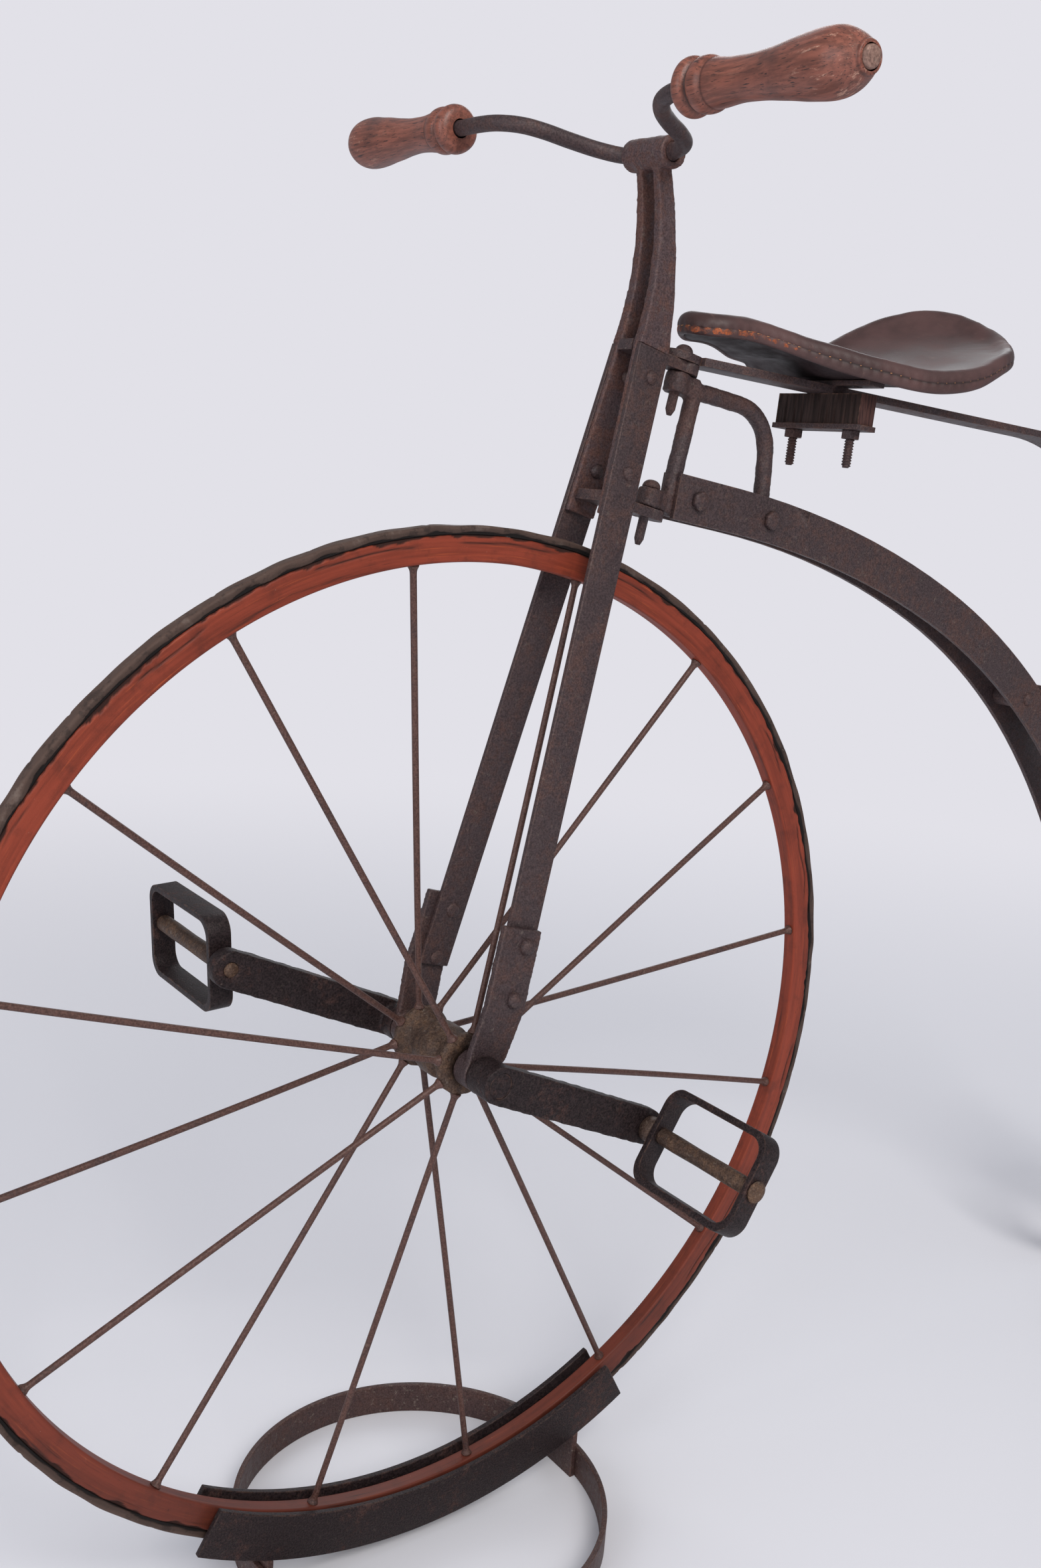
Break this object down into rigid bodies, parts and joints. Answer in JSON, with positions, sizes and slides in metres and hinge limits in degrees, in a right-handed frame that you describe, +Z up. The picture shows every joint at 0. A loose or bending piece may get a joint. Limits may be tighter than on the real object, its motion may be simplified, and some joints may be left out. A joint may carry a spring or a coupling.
{
  "type": "high-wheel bicycle",
  "caption": "Child-size high-wheel bicycle with a large spoked front wheel, small rear wheel, curved flat-bar spine and leaf-sprung saddle, held upright by a ring stand.",
  "frame": {"origin": "on the floor, under the middle of the outline", "axes": "+X forward (the large wheel leads), +Y to the rider's left, +Z up"},
  "size_m": [1.2184, 0.4711, 0.9276],
  "materials": {
    "iron": "dark brown, rusted and dusty",
    "spoke_iron": "rusty brown",
    "bolt_iron": "dull, oily and rusted",
    "rim_wood": "worn red-orange paint on open grain",
    "grip_wood": "turned, reddish brown, worn at the ends",
    "block_wood": "dark and weathered",
    "rubber": "aged solid rubber",
    "leather": "very dark brown, worn orange at the edge"
  },
  "bodies": {
    "fork_and_stand": {"fork_blade_left": "iron", "fork_blade_right": "iron", "fork_end_left": "iron", "fork_end_right": "iron", "yoke": "iron", "upper_bracket": "iron", "lower_bracket": "iron", "upper_steering_bolt": "bolt_iron", "lower_steering_bolt": "bolt_iron", "handlebar": "iron", "grip_left": "grip_wood", "grip_right": "grip_wood", "stand_ring": "iron", "stand_leg_front": "iron", "stand_leg_rear": "iron", "cradle_cheek_left": "iron", "cradle_cheek_right": "iron"},
    "front_wheel": {"front_rim": "rim_wood", "front_tyre": "rubber", "front_spokes": "spoke_iron", "front_hub": "iron", "front_axle": "iron", "crank_left": "iron", "crank_right": "iron", "pedal_pin_left": "bolt_iron", "pedal_pin_right": "bolt_iron"},
    "left_pedal": {"pedal_left": "iron"},
    "right_pedal": {"pedal_right": "iron"},
    "backbone": {"neck_casting": "iron", "spine_left": "iron", "spine_right": "iron", "spine_spacer": "iron", "seat_spring": "iron", "saddle_block": "block_wood", "clamp_plate_lower": "iron", "clamp_plate_upper": "iron", "clamp_bolts": "bolt_iron", "saddle_pan": "iron", "saddle_leather": "leather", "rear_axle": "bolt_iron"},
    "rear_wheel": {"rear_hub": "iron", "rear_spokes": "spoke_iron", "rear_rim": "rim_wood", "rear_tyre": "rubber"}
  },
  "joints": [
    {"name": "front_wheel_spin", "type": "hinge", "parent": "fork_and_stand", "child": "front_wheel", "pos_m": [0.28278, 0, 0.342], "axis": [0, 1, 0], "continuous": true},
    {"name": "left_pedal_spin", "type": "hinge", "parent": "front_wheel", "child": "left_pedal", "pos_m": [0.16294, 0.12, 0.29162], "axis": [0, 1, 0], "continuous": true},
    {"name": "right_pedal_spin", "type": "hinge", "parent": "front_wheel", "child": "right_pedal", "pos_m": [0.40262, -0.12, 0.39238], "axis": [0, 1, 0], "continuous": true},
    {"name": "steering", "type": "hinge", "parent": "fork_and_stand", "child": "backbone", "pos_m": [0.14145, 0, 0.75226], "axis": [-0.1959, 0, 0.9806], "range_deg": [-40, 40]},
    {"name": "rear_wheel_spin", "type": "hinge", "parent": "backbone", "child": "rear_wheel", "pos_m": [-0.50878, 0, 0.1004], "axis": [0, 1, 0], "continuous": true}
  ]
}
